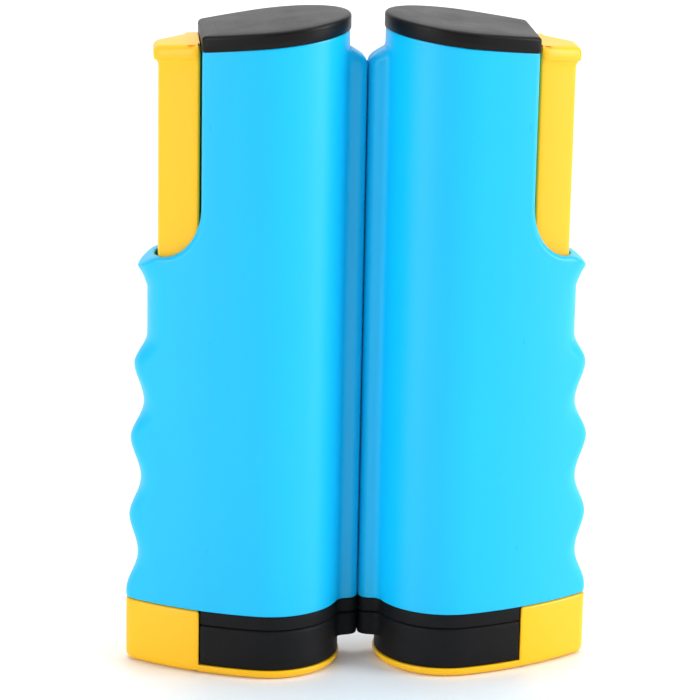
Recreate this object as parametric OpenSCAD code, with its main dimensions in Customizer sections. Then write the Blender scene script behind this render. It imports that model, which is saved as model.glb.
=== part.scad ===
// Retractable table tennis net set: two spring clamp posts, mirror images of
// each other, standing net side to net side with the net wound inside them.
// Each post grips a table top between a fixed upper pad and a sprung lower jaw.
//
// Frame: millimetres, +Z up, the feet stand on z = 0, the origin is midway
// between the posts, +X runs along the net, -Y is the front.
// Every post module is drawn for the right hand post, where u = x is the
// distance outward from the middle; the left post is its mirror image.

/* [Post] */
// Radius of the round net tube at the inner side of a post
tube_r = 21.9; // [21.7:0.1:22.1]
// Distance from the middle to the tube's axis
tube_u = 27.2; // [27.1:0.1:27.4]
// Distance from the middle to the outermost point of the foot
tip_u = 71.2; // [70.8:0.1:73]
// Nose radius of the foot and grip
tip_r = 4.5; // [4:0.1:5]
// Radius of the broad flank between tube and nose
flank_r = 100; // [98:1:110]
// Clear gap between the two net lips
lip_gap = 0.5; // [0.4:0.1:1.8]
// Thickness of the moulded shells
wall = 2.2; // [2:0.1:2.4]
// Distance from the middle to the flat end wall behind the plunger
wall_u = 49.3; // [49:0.1:49.6]
// Height of the cap's top face at its low, outer end
cap_z = 197; // [197:0.5:205]
// Rise of the cap per mm towards the inner side
cap_slope = 0.115; // [0.08:0.005:0.13]

/* [Grip] */
// Height of the grip's open rim beside the web
rim_z = 129.2; // [128.6:0.1:129.8]
// Drop of the rim towards its flared outer edge
rim_drop = 3.6; // [3:0.1:4]
// Width of the rounded web between rim and end wall
web_w = 12.5; // [12:0.1:13]
// Height of the rounded web between rim and end wall
web_h = 17; // [15:0.5:18]
// Depth of the finger grooves, as a multiple of the standard one
groove_k = 1; // [0.6:0.1:1.1]

/* [Clamp] */
// Travel of the plunger and lower jaw: the thickest table top
travel = 50; // [40:1:52]
// Thickness of the foot's bottom plate
plate_t = 2.8; // [2.4:0.1:3.2]
// Height of the lower jaw block on the plate
block_t = 12.9; // [12:0.1:12.9]
// Height of the fixed upper jaw pad
pad_t = 4.4; // [4:0.1:4.4]
// Thickness of the plunger's channel walls
channel_t = 2; // [1.8:0.1:2.2]
// Coil diameter of the clamp spring, outside
clamp_spring_d = 7.8; // [7:0.1:8.4]
// Wire diameter of the clamp spring
clamp_wire = 1; // [0.8:0.1:1.2]

/* [Net and reel] */
// Height of the net, the standard one less half a millimetre
net_h = 152; // [148:1:152]
// Thickness of the knotted net when wound
net_t = 0.55; // [0.45:0.05:0.65]
// Radius of the full net roll on its reel
roll_r = 14.8; // [14:0.1:15]
// Outside radius of the reel tube
reel_r = 8; // [7.8:0.1:8.4]
// Radius of the fixed axle rod
rod_r = 2.5; // [2:0.1:2.6]
// Height of the tape sewn along the net's top edge
tape_h = 12; // [10:1:15]
// Width of the slot in the lips
slot_w = 2; // [1.6:0.1:2.4]

/* [Screws] */
// Radius of the thread-forming screws
screw_r = 1.25; // [1.1:0.05:1.35]
// Radius of the screw heads
head_r = 2.4; // [2.2:0.1:2.4]

/* [Hidden] */

eps = 0.01;
big = 400;
blue = [0.16, 0.72, 0.97];
yellow = [0.99, 0.80, 0.17];
black = [0.13, 0.13, 0.14];
steel = [0.72, 0.73, 0.75];
white = [0.93, 0.93, 0.92];
mesh_dark = [0.12, 0.16, 0.22];

// Heights
pad_z0 = plate_t + block_t + 0.1;          // underside of the upper jaw pad
body_z0 = pad_z0 + pad_t + 0.1;            // underside of the blue housing
floor_z = body_z0 + wall;                  // top of the housing's floor
cap_t = 5;                                 // height of the cap's visible side
seam_z = cap_z - cap_t;                    // top of the housing at the end wall
lip_top = cap_z - 5.5;                       // highest point of the lips
net_z0 = floor_z + 7;                      // lower edge of the net
net_z1 = net_z0 + net_h;                   // upper edge of the net
bridge_z = net_z1 + 5.1;                   // underside of the upper axle bridge
lip_u = lip_gap / 2;                       // inner face of the lip
lip_w = 5.8;                               // half thickness of the lips
lip_r = 3.0;                               // rounding of the lips' long edges
rim_u = wall_u + web_w;                    // where the web meets the rim

// Plan outline: tube circle, flank circles tangent to it, and a round nose.
// The flank centre (fc_u, -fc_v) lies flank_r - r from each of the two others.
tip_c = tip_u - tip_r;
d_tube = flank_r - tube_r;
d_tip = flank_r - tip_r;
fc_u = (tube_u + tip_c) / 2 - (d_tip * d_tip - d_tube * d_tube) / (2 * (tip_c - tube_u));
fc_v = sqrt(d_tube * d_tube - pow(tube_u - fc_u, 2));
a_tip = atan2(fc_v, tip_c - fc_u);
a_tube = atan2(fc_v, tube_u - fc_u);

function arc(cu, cv, r, a0, a1, n) =
    [for (i = [0:n]) let (a = a0 + (a1 - a0) * i / n) [cu + r * cos(a), cv + r * sin(a)]];
function rev(p) = [for (i = [len(p) - 1:-1:0]) p[i]];
function flip_v(p) = [for (q = p) [q[0], -q[1]]];
// Upper half of the outline, moved inward by d, from the nose to the tube's inner side
function half_outline(d) = concat(
    arc(tip_c, 0, tip_r - d, 0, a_tip, d < 2.4 ? 6 : 1),
    [for (p = arc(fc_u, -fc_v, flank_r - d, a_tip, a_tube, 9)) p],
    [for (i = [1:12]) let (a = a_tube + (180 - a_tube) * i / 12)
        [tube_u + (tube_r - d) * cos(a), (tube_r - d) * sin(a)]]);
function clean(p) = [for (i = [0:len(p) - 1])
    if (i == 0 || norm(p[i] - p[i - 1]) > 0.02) p[i]];
// The whole closed outline; the flank's half width v at u, moved inward by d
function outline(d) = let (h = clean(half_outline(d)))
    concat(h, [for (i = [len(h) - 2:-1:1]) [h[i][0], -h[i][1]]]);
// Plan of a net lip: half thickness w, its two edges rounded by r
function lip_plan(w, r) = concat(
    [[9, -w]], [for (a = [0:15:90]) [lip_u + r - r * sin(a), -w + r - r * cos(a)]],
    [for (a = [90:-15:0]) [lip_u + r - r * sin(a), w - r + r * cos(a)]], [[9, w]]);
function flank_v(u, d) = sqrt(pow(flank_r - d, 2) - pow(u - fc_u, 2)) - fc_v;

// Section of the plunger family: between the end wall and u1, flanks moved
// inward by d, with its two outer corners cut back by c
function plunger_outline(u0, u1, d, c) =
    let (n = 6, top = [for (i = [0:n]) let (u = u0 + (u1 - c - u0) * i / n) [u, flank_v(u, d)]],
         last = [[u1 - 0.3 * c, flank_v(u1 - c, d) - 0.45 * c],
                 [u1, flank_v(u1 - c, d) - 1.15 * c]])
    concat(flip_v(concat(top, last)), rev(concat(top, last)));

// Side view of the grip: [height, reach] of each crest and trough
grip_pts = [[body_z0 - 1, 71.2], [22.5, 71.2], [34.5, 67.7], [46.6, 70.3], [58.5, 66.8],
            [71.3, 69.9], [82.6, 65.9], [94.6, 68.8], [104.2, 64.9], [117.5, 64.9], [124.3, 68], [rim_z + 1, 68]];
function reach(i) = tip_u - groove_k * (71.2 - grip_pts[i][1]);
function ease(t) = (1 - cos(180 * t)) / 2;
function grip_edge(dr) = [for (i = [0:len(grip_pts) - 2]) for (k = [0:3])
    let (t = k / 4, z = grip_pts[i][0] + (grip_pts[i + 1][0] - grip_pts[i][0]) * t)
    [reach(i) + (reach(i + 1) - reach(i)) * ease(t) - dr, z]];

module prism(p, z0, z1) { translate([0, 0, z0]) linear_extrude(z1 - z0) polygon(p); }
// A shape drawn in the side view (u, z), extruded front to back
module side(p, v0, v1) { translate([0, v1, 0]) rotate([90, 0, 0]) linear_extrude(v1 - v0) polygon(p); }
module slab(u0, u1, v0, v1, z0, z1) { translate([u0, v0, z0]) cube([u1 - u0, v1 - v0, z1 - z0]); }
module rod(u, v, r, z0, z1) { translate([u, v, z0]) cylinder(r = r, h = z1 - z0, $fn = 48); }
module rod_y(u, z, r, v0, v1) { translate([u, v0, z]) rotate([-90, 0, 0]) cylinder(r = r, h = v1 - v0, $fn = 36); }
function seam(u) = seam_z + cap_slope * (wall_u - u);
function top(u) = cap_z + cap_slope * (wall_u - u);

// ---------------------------------------------------------------- housing
screw_at = [[wall_u - 4.4, 40, 13.6], [wall_u - 4.4, 105, 13.6], [wall_u - 4.4, 170, 13.6],
            [14.3, body_z0 + 3, 14], [14.3, seam_z - 1.1, 14]];   // [u, z, head seat v]

module housing_outer() {
    difference() {
        union() {
            prism(outline(0), body_z0, cap_z + 12);
            intersection() {
                side([[lip_u, body_z0], [lip_u, lip_top - 4.4], [lip_u + 0.3, lip_top - 3.5],
                      [lip_u + 1.2, lip_top - 2.5], [lip_u + 3, lip_top - 1.3],
                      [lip_u + 5, lip_top - 0.4], [lip_u + 7, lip_top], [lip_u + 7, body_z0]], -20, 20);
                prism(lip_plan(lip_w, lip_r), 0, big);
            }
        }
        // sloping top
        side([[-5, seam(-5)], [90, seam(90)], [90, cap_z + 40], [-5, cap_z + 40]], -40, 40);
        // finger grooves and flared rim
        side(concat([[90, body_z0 - 1]], grip_edge(0), [[90, rim_z + 1]]), -40, 40);
        // open side above the grip, with its falling rim and rounded web
        side(concat([[90, rim_z - rim_drop]],
                    [for (t = [1:-0.25:0]) [rim_u + (68 - rim_u) * t, rim_z - rim_drop * pow(t, 1.5)]],
                    [for (a = [10:10:80]) [rim_u - web_w * sin(a), rim_z + web_h * (1 - cos(a))]],
                    [[wall_u, rim_z + web_h], [wall_u, cap_z + 30], [90, cap_z + 30]]), -40, 40);
    }
}

module housing_inner() {
    // net tube, open at the top under the cap
    difference() {
        prism(outline(wall), floor_z, cap_z + 20);
        slab(wall_u - wall, 90, -40, 40, 0, big);
        // bridge that holds the axle's upper end
        slab(-5, 60, -40, 40, bridge_z, bridge_z + 2);
        // lower axle seat
        rod(tube_u, 0, 5, 0, net_z0 - 3);
        // screw bosses, wider around each head's recess
        for (s = screw_at) {
            rod_y(s[0], s[1], 2.4, -30, 30);
            rod_y(s[0], s[1], 3.6, s[2] - 2, 30);
        }
    }
    // plunger shaft space
    difference() {
        prism(outline(wall), floor_z, rim_z + web_h + 5);
        slab(-5, wall_u, -40, 40, 0, big);
        // its outer side follows the grooves and runs straight up behind the thick flared rim
        side(concat([[90, 0], [grip_edge(wall)[0][0], 0]], [for (q = grip_edge(wall)) if (q[1] < 104) q],
                    [[reach(8) - wall, grip_pts[8][0]], [reach(8) - wall, rim_z + 40], [90, rim_z + 40]]), -40, 40);
        // shelf that carries the clamp spring
        prism(plunger_outline(wall_u - 1, 59, 5 + channel_t / 2 - 0.5, 1.5), 66, 70);
    }
    // guide opening in the floor for the shaft
    prism(plunger_outline(wall_u + 0.1, 62.1, 2.6, 1.5), body_z0 - 5, floor_z + 5);
    // axle seats
    rod(tube_u, 0, rod_r + 0.03, body_z0 + 0.9, bridge_z + 5);
    // net slot between the lips
    slab(-5, 9, -slot_w / 2, slot_w / 2, net_z0 - 1, net_z1 + 1);
}

module housing_front() {
    difference() {
        housing_outer();
        housing_inner();
        slab(-50, 100, 0, 50, 0, big);
        for (s = screw_at) rod_y(s[0], s[1], screw_r + 0.02, -11, 1);
    }
}
module housing_back() {
    difference() {
        housing_outer();
        housing_inner();
        slab(-50, 100, -50, 0, 0, big);
        for (s = screw_at) {
            rod_y(s[0], s[1], screw_r + 0.25, -1, 30);
            rod_y(s[0], s[1], head_r + 0.3, s[2], 30);
        }
    }
}
module housing_screws() {
    for (s = screw_at) {
        rod_y(s[0], s[1], screw_r, -10.5, s[2]);
        rod_y(s[0], s[1], head_r, s[2], s[2] + 1.7);
    }
}

// ---------------------------------------------------------------- top cap
module top_cap() {
    intersection() {
        prism(outline(-0.3), seam_z - 5, cap_z + 15);
        side([[-5, seam(-5)], [wall_u, seam(wall_u)], [wall_u, top(wall_u) - 0.8],
              [wall_u - 0.8, top(wall_u - 0.8)], [-5, top(-5)]], -40, 40);
    }
    // locating skirt inside the housing
    intersection() {
        difference() {
            prism(outline(wall + 0.15), seam_z - 5, cap_z + 15);
            prism(outline(wall + 2.15), seam_z - 6, cap_z + 16);
            slab(-5, 9, -12, 12, 0, big);
            for (v = [-1, 1]) rod_y(screw_at[4][0], screw_at[4][1], 3.9, v * 20 - 10, v * 20 + 10);
        }
        side([[-5, seam(-5) - 2.3], [wall_u - wall - 0.15, seam(wall_u - wall) - 2.3],
              [wall_u - wall - 0.15, seam(wall_u - wall) + 1], [-5, seam(-5) + 1]], -40, 40);
    }
}

// ---------------------------------------------------------------- jaws
module upper_jaw_pad() {
    difference() {
        union() {
            prism(outline(0.5), pad_z0, body_z0 - 0.0);
            prism(lip_plan(lip_w - 0.4, lip_r - 0.5), pad_z0, body_z0);
        }
        slab(wall_u - 0.3, 100, -40, 40, 0, big);
    }
}
module lower_jaw_block() {
    difference() {
        union() {
            prism(outline(0.5), plate_t, pad_z0 - 0.1);
            prism(lip_plan(lip_w - 0.4, lip_r - 0.5), 8.2, pad_z0 - 0.1);
        }
        slab(wall_u - 0.2, 100, -40, 40, 0, big);
        // hollow underside
        difference() {
            prism(outline(0.5 + 2.4), plate_t - 1, pad_z0 - 2.6);
            slab(wall_u - 2.6, 100, -40, 40, 0, big);
            slab(tube_u - 1, tube_u + 1, -40, 40, 0, big);
        }
    }
}
foot_screw_at = [53, 59];
module foot() {
    difference() {
        union() {
            intersection() {
                prism(outline(0), 0, plate_t);
                slab(-5, wall_u + 1, -40, 40, -1, 30);
            }
            intersection() {
                prism(outline(0), 0, body_z0 - 0.3);
                slab(wall_u + 0.1, 90, -40, 40, -1, 30);
            }
        }
        // socket for the plunger's lower end
        prism(plunger_outline(wall_u + 0.45, 61.75, 2.95, 1.5), plate_t + 0.2, 30);
        for (u = foot_screw_at) {
            rod(u, 0, screw_r + 0.25, -1, 10);
            rod(u, 0, head_r + 0.3, -1, 1.9);
        }
    }
}
module foot_screws() {
    for (u = foot_screw_at) {
        rod(u, 0, head_r, 0.5, 1.9);
        rod(u, 0, screw_r, 1.9, 13);
    }
}

// ---------------------------------------------------------------- plunger
button_z = cap_z - 3.1;     // top of the thumb button at the end wall
function button(u) = button_z - cap_slope * (u - wall_u);
module plunger() {
    difference() {
        union() {
            prism(plunger_outline(wall_u + 0.5, 61.7, 3, 1.5), plate_t + 0.25, button_z - 4);
            intersection() {
                union() {
                    prism(plunger_outline(wall_u + 0.5, 62.4, 2.7, 1.5), button_z - 7.5, button_z + 5);
                    prism(plunger_outline(wall_u + 0.5, 63.2, 2.45, 1.5), button_z - 5, button_z + 5);
                }
                side([[40, button(40)], [70, button(70)], [70, 150], [40, 150]], -40, 40);
            }
        }
        // channel for the clamp spring, open towards the end wall
        prism(plunger_outline(wall_u - 1, 61.7 - channel_t, 3 + channel_t, 1.2), 21, spring_z1);
        for (u = foot_screw_at) rod(u, 0, screw_r + 0.02, -1, 13.5);
    }
}

// ---------------------------------------------------------------- springs
spring_z0 = 70;
spring_z1 = cap_z - 12.5;
// Centre line height along a spring with closed end turns
function lead(t, n, w, h) = let (k = t * n, c = 2 * w * 1.03)
    k < 1 ? w + k * c : k > n - 1 ? h - w - (n - k) * c
    : w + c + (k - 1) / (n - 2) * (h - 2 * w - 2 * c);
module coil(r, w, h, turns, per_turn, sides) {
    n = turns * per_turn;
    pts = [for (i = [0:n]) for (j = [0:sides - 1])
        let (a = 360 * i / per_turn, b = 360 * j / sides, q = r + w * cos(b))
        [q * cos(a), q * sin(a), lead(i / n, turns, w, h) + w * sin(b)]];
    polyhedron(points = pts, faces = concat(
        [[for (j = [0:sides - 1]) j]],
        [for (i = [0:n - 1]) for (j = [0:sides - 1])
            [i * sides + j, (i + 1) * sides + j, (i + 1) * sides + (j + 1) % sides, i * sides + (j + 1) % sides]],
        [[for (j = [sides - 1:-1:0]) n * sides + j]]));
}
module clamp_spring() {
    translate([54.6, 0, spring_z0])
        coil((clamp_spring_d - clamp_wire) / 2, clamp_wire / 2, spring_z1 - spring_z0, 16, 9, 6);
}
module reel_spring() {
    translate([tube_u, 0, net_z0 + 15]) coil(4.4, 0.5, net_h - 30, 16, 8, 6);
}

// ---------------------------------------------------------------- net reel
module axle_rod() { rod(tube_u, 0, rod_r, body_z0 + 1, bridge_z + 3.2); }
module reel_tube() {
    difference() {
        rod(tube_u, 0, reel_r, net_z0 - 1, net_z1 + 1);
        rod(tube_u, 0, reel_r - 1.2, net_z0 - 2, net_z1 + 2);
    }
}
module reel_plug(z0, up) {
    // flange, plug body and running bore
    difference() {
        union() {
            rod(tube_u, 0, roll_r + 0.9, up > 0 ? z0 : z0 - 1.5, up > 0 ? z0 + 1.5 : z0);
            rod(tube_u, 0, reel_r - 1.2, up > 0 ? z0 : z0 - 12, up > 0 ? z0 + 12 : z0);
        }
        rod(tube_u, 0, rod_r + 0.05, z0 - 20, z0 + 20);
    }
}
module reel_lower_plug() { reel_plug(net_z0 - 2.5, 1); }
module reel_upper_plug() { reel_plug(net_z1 + 2.5, -1); }
module net_roll() {
    difference() {
        rod(tube_u, 0, roll_r, net_z0, net_z1);
        rod(tube_u, 0, reel_r, net_z0 - 1, net_z1 + 1);
    }
}

// ---------------------------------------------------------------- net
// The net leaves each roll along the tangent at the back, meets the slot at
// (slot_u, 0) and runs straight to the other post.
slot_u = tube_u - tube_r + wall + 0.1;
run_r = roll_r + 0.5;
run_a = asin(run_r / (tube_u - slot_u));
run_l = sqrt(pow(tube_u - slot_u, 2) - run_r * run_r);
function run_path(h) = let (a = run_a, n = [-sin(a), cos(a)], e = [slot_u + run_l * cos(a), run_l * sin(a)])
    [[slot_u - h * tan(a / 2), h], e + h * n, e - h * n, [slot_u + h * tan(a / 2), -h]];
function mirror_u(p) = [for (q = p) [-q[0], q[1]]];
module net_strip(h, z0, z1) {
    r = run_path(h);
    prism(concat([r[3], r[2], r[1], r[0]], rev(mirror_u([r[3], r[2], r[1], r[0]]))), z0, z1);
}
module net_span() { color(mesh_dark) net_strip(net_t / 2, net_z0, net_z1 - tape_h); }
module net_top_tape() { color(white) net_strip(net_t * 0.75, net_z1 - tape_h, net_z1); }

// ---------------------------------------------------------------- nodes
module left() { mirror([1, 0, 0]) children(); }
module right_housing_front() { color(blue) housing_front(); }
module right_housing_back() { color(blue) housing_back(); }
module right_top_cap() { color(black) top_cap(); }
module right_upper_jaw_pad() { color(black) upper_jaw_pad(); }
module right_plunger() { color(yellow) plunger(); }
module right_foot() { color(yellow) foot(); }
module right_lower_jaw_block() { color(black) lower_jaw_block(); }
module right_clamp_spring() { color(steel) clamp_spring(); }
module right_axle_rod() { color(steel) axle_rod(); }
module right_reel_tube() { color(white) reel_tube(); }
module right_reel_lower_plug() { color(black) reel_lower_plug(); }
module right_reel_upper_plug() { color(black) reel_upper_plug(); }
module right_reel_spring() { color(steel) reel_spring(); }
module right_net_roll() { color(mesh_dark) net_roll(); }
module right_housing_screws() { color(steel) housing_screws(); }
module right_foot_screws() { color(steel) foot_screws(); }

left() right_housing_front();  // left_housing_front
left() right_housing_back();  // left_housing_back
left() right_top_cap();  // left_top_cap
left() right_upper_jaw_pad();  // left_upper_jaw_pad
left() right_plunger();  // left_plunger
left() right_foot();  // left_foot
left() right_lower_jaw_block();  // left_lower_jaw_block
left() right_clamp_spring();  // left_clamp_spring
left() right_axle_rod();  // left_axle_rod
left() right_reel_tube();  // left_reel_tube
left() right_reel_lower_plug();  // left_reel_lower_plug
left() right_reel_upper_plug();  // left_reel_upper_plug
left() right_reel_spring();  // left_reel_spring
left() right_net_roll();  // left_net_roll
left() right_housing_screws();  // left_housing_screws
left() right_foot_screws();  // left_foot_screws
right_housing_front();
right_housing_back();
right_top_cap();
right_upper_jaw_pad();
right_plunger();
right_foot();
right_lower_jaw_block();
right_clamp_spring();
right_axle_rod();
right_reel_tube();
right_reel_lower_plug();
right_reel_upper_plug();
right_reel_spring();
right_net_roll();
right_housing_screws();
right_foot_screws();
net_span();
net_top_tape();
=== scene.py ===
import math

import bmesh
import bpy
import numpy as np
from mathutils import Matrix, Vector


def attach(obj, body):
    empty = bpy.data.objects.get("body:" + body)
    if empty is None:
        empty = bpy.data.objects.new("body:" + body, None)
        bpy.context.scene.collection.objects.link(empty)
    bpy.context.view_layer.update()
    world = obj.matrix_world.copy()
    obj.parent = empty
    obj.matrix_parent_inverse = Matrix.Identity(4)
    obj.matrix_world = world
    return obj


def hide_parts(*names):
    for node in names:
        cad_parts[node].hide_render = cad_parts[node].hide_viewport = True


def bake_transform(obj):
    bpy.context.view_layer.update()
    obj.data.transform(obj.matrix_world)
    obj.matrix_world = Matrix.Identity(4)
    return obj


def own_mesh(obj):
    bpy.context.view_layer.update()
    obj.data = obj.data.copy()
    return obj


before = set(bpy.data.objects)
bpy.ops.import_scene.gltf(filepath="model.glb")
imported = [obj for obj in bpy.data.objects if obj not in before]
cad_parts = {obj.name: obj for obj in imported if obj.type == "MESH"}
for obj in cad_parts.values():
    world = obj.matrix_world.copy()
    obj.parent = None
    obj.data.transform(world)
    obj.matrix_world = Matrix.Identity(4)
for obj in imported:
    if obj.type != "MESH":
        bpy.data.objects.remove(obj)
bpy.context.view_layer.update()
scene = bpy.context.scene

# ------------------------------------------------------------------ camera
# Everything below is drawn in millimetres and scaled by MM when a mesh is made.
MM = 0.001
CAM_AZ, CAM_PITCH, CAM_ROLL, CAM_D = 5.263, 15.627, 1.109, 947.5
CAM_F, CAM_CX, CAM_CY = 3126.5, 347.6, 348.1
CAM_TARGET = (-4.22, 0.0, 98.77)


def make_camera():
    az, p, roll = math.radians(CAM_AZ), math.radians(CAM_PITCH), math.radians(CAM_ROLL)
    fwd = Vector((math.sin(az) * math.cos(p), math.cos(az) * math.cos(p), -math.sin(p)))
    right0 = Vector((math.cos(az), -math.sin(az), 0))
    up0 = right0.cross(fwd)
    right = right0 * math.cos(roll) + up0 * math.sin(roll)
    up = -right0 * math.sin(roll) + up0 * math.cos(roll)
    data = bpy.data.cameras.new("camera")
    cam = bpy.data.objects.new("camera", data)
    scene.collection.objects.link(cam)
    data.sensor_width = 36
    data.lens = CAM_F / 700 * 36
    data.shift_x = (350 - CAM_CX) / 700
    data.shift_y = (CAM_CY - 350) / 700
    data.clip_start, data.clip_end = 0.02, 30
    cam.location = Vector(CAM_TARGET) * MM - fwd * CAM_D * MM
    from mathutils import Matrix

    m = Matrix((right, up, -fwd)).transposed()
    cam.rotation_mode = "QUATERNION"
    cam.rotation_quaternion = m.to_quaternion()
    scene.camera = cam
    return cam


make_camera()

# ------------------------------------------------------------------ plan outline
TUBE_U, TUBE_R, FLANK_R = 27.2, 21.9, 100.0
TIP_U, TIP_R = 71.2, 4.5
_tc = TIP_U - TIP_R
_dt, _dp = FLANK_R - TUBE_R, FLANK_R - TIP_R
FU = (TUBE_U + _tc) / 2 - (_dp * _dp - _dt * _dt) / (2 * (_tc - TUBE_U))
FV = math.sqrt(_dt * _dt - (TUBE_U - FU) ** 2)
A_TUBE = math.atan2(FV, TUBE_U - FU)
WALL, WALL_U = 2.2, 49.3
SLOPE = 0.115
RIM_Z, RIM_DROP, WEB_W, WEB_H = 129.2, 3.6, 12.5, 17.0
WEB_U = WALL_U + WEB_W
LIP_U, LIP_W = 0.10, 5.8
ROLL_R = 14.8
BODY_Z = 20.3


def flank_v(u, d=0.0):
    return math.sqrt((FLANK_R - d) ** 2 - (u - FU) ** 2) - FV


def flank_pt(b, d=0.0):
    return FU + (FLANK_R - d) * math.cos(b), -FV + (FLANK_R - d) * math.sin(b)


def flank_ang(u):
    return math.acos((u - FU) / FLANK_R)


def nose(U):
    """(centre, radius, start angle) of the nose circle that reaches U and is tangent to both flanks."""
    A = U - FU
    r = (FLANK_R**2 - A * A - FV * FV) / (2 * (FLANK_R - A))
    return U - r, r, math.atan2(FV, U - r - FU)


GRIP = [(19.3, 71.2), (22.5, 71.2), (34.5, 67.7), (46.6, 70.3), (58.5, 66.8), (71.3, 69.9),
        (82.6, 65.9), (94.6, 68.8), (104.2, 64.9), (117.5, 64.9), (124.3, 68.0), (131, 68.0)]


def reach(z):
    """Side view of the grip: how far out the nose reaches at height z."""
    for (z0, u0), (z1, u1) in zip(GRIP, GRIP[1:]):
        if z <= z1 or z1 > 120:
            t = min(max((z - z0) / (z1 - z0), 0), 1)
            if z0 > 110:     # the flare under the rim
                t = min(max((z - 116.6) / 8.6, 0), 1)
                return u0 + (u1 - u0) * t**1.25
            if u0 > u1:      # crest below, trough above
                e = math.sin(math.pi / 2 * t**0.9) ** 2
                return u0 + (u1 - u0) * e
            e = math.sin(math.pi / 2 * (1 - t) ** 0.9) ** 2
            return u1 + (u0 - u1) * e
    return GRIP[-1][1]


LIP_FILLET = 3.0


def lip_half(d, h, wl, ul, rc=3.6, v0=0.0, slot_r=0.0):
    """Inner end of a half outline, from v0 on the lip's face to the tube: 15 segments.
    d insets it, h is how far the lip stands out of the tube, from 0 to 1."""
    rf = LIP_FILLET
    cv = wl + rf
    cu = TUBE_U - math.sqrt((TUBE_R + rf) ** 2 - cv * cv)
    a1 = math.atan2(cv, cu - TUBE_U)            # angle on the tube where the fillet ends
    pts = []
    u = ul + d
    rcd = max(rc - d, 0.15)
    rcu = min(1.1 * rcd, cu - u - 0.08)          # the rounding is a little longer along u
    w = wl - d
    sr = slot_r
    pts += [(u + sr, v0), (u + 0.3 * sr, v0 + 0.3 * sr), (u, v0 + sr)]
    for i in (1, 2):
        pts.append((u, v0 + sr + (w - rcd - v0 - sr) * i / 2))
    for i in range(1, 6):
        a = math.pi - math.pi / 2 * i / 5
        pts.append((u + rcu + rcu * math.cos(a), w - rcd + rcd * math.sin(a)))
    pts.append((max(cu, u + rcu + 0.05), w))
    end = math.atan2(-cv, TUBE_U - cu)           # direction from the fillet centre to the tube
    for i in range(1, 7):
        a = -math.pi / 2 + (end + math.pi / 2) * i / 6
        pts.append((cu + (rf + d) * math.cos(a), cv + (rf + d) * math.sin(a)))
    pts = np.array(pts)
    n = len(pts)
    r = TUBE_R - d
    a0 = math.pi - math.asin(min(v0 / r, 1))
    ang = a0 + (a1 - a0) * np.linspace(0, 1, n)
    tube = np.stack([TUBE_U + r * np.cos(ang), r * np.sin(ang)], 1)
    return tube + h * (pts - tube), a1


def arc_pts(cu, cv, r, a0, a1, n, skip=1):
    a = a0 + (a1 - a0) * np.arange(skip, n + 1) / n
    return np.stack([cu + r * np.cos(a), cv + r * np.sin(a)], 1)


def half_tube(d, u_end, rho, h=0.0, wl=LIP_W, ul=LIP_U, n_tube=24, n_flank=9):
    """Half outline of the tube side of a post, from the inner tip round to the
    rounded corner where it meets the flat end at u_end, inset by d."""
    lip, a1 = lip_half(d, h, wl, ul)
    tube = arc_pts(TUBE_U, 0, TUBE_R - d, a1, A_TUBE, n_tube)
    rc = max(rho - d, 0.05)
    ue = u_end - d - rc
    vc = math.sqrt((FLANK_R - d - rc) ** 2 - (ue - FU) ** 2) - FV
    b = math.atan2(vc + FV, ue - FU)
    flank = arc_pts(FU, -FV, FLANK_R - d, A_TUBE, b, n_flank)
    corner = arc_pts(ue, vc, rc, b, 0, 6)
    return np.concatenate([lip, tube, flank, corner])


def half_nose(d, u_in, rho, U=TIP_U, n_nose=12, n_flank=8):
    """Half outline of the outer end of a post, from the nose tip back to the
    rounded corner at the flat face u_in, inset by d."""
    c, r, a = nose(U)
    tip = arc_pts(c, 0, r - d, 0, a, n_nose, 0)
    rc = max(rho - d, 0.05)
    ue = u_in + d + rc
    vc = math.sqrt((FLANK_R - d - rc) ** 2 - (ue - FU) ** 2) - FV
    b = math.atan2(vc + FV, ue - FU)
    flank = arc_pts(FU, -FV, FLANK_R - d, a, b, n_flank)
    corner = arc_pts(ue, vc, rc, b, math.pi, 5)
    return np.concatenate([tip, flank, corner])


# ------------------------------------------------------------------ mesh helpers
class Build:
    """Collects vertices in millimetres (u, y, z) and faces."""

    def __init__(self):
        self.v, self.f, self.n = [], [], 0

    def pts(self, p):
        p = np.asarray(p, float).reshape(-1, 3)
        self.v.append(p)
        self.n += len(p)
        return np.arange(self.n - len(p), self.n)

    def quads(self, idx, wrap=False):
        """idx is a (rows, columns) table of vertex numbers."""
        r, c = idx.shape
        for i in range(r - 1):
            for j in range(c - 1 + (1 if wrap else 0)):
                k = (j + 1) % c
                self.f.append((idx[i, j], idx[i, k], idx[i + 1, k], idx[i + 1, j]))

    def grid(self, p, wrap=False):
        p = np.asarray(p, float)
        idx = self.pts(p).reshape(p.shape[0], p.shape[1])
        self.quads(idx, wrap)
        return idx

    def face(self, ids):
        self.f.append(tuple(int(i) for i in ids))


MATS = {}


def finish_mesh(name, b, side=1, mat=None, smooth=35, merge=0.0004):
    """Makes a Blender object of a Build. side -1 mirrors it to the left post."""
    v = np.concatenate(b.v) * MM
    if side < 0:
        v = v * np.array([-1, 1, 1])
    me = bpy.data.meshes.new(name)
    me.from_pydata(v.tolist(), [], [tuple(int(i) for i in q) for q in b.f])
    bm = bmesh.new()
    bm.from_mesh(me)
    bmesh.ops.remove_doubles(bm, verts=bm.verts, dist=merge * MM)
    bmesh.ops.dissolve_degenerate(bm, edges=bm.edges, dist=1e-8)
    bmesh.ops.recalc_face_normals(bm, faces=bm.faces)
    bm.to_mesh(me)
    bm.free()
    ob = bpy.data.objects.new(name, me)
    scene.collection.objects.link(ob)
    if mat:
        me.materials.append(MATS[mat])
    if smooth:
        shade(ob, smooth)
    return ob


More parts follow.
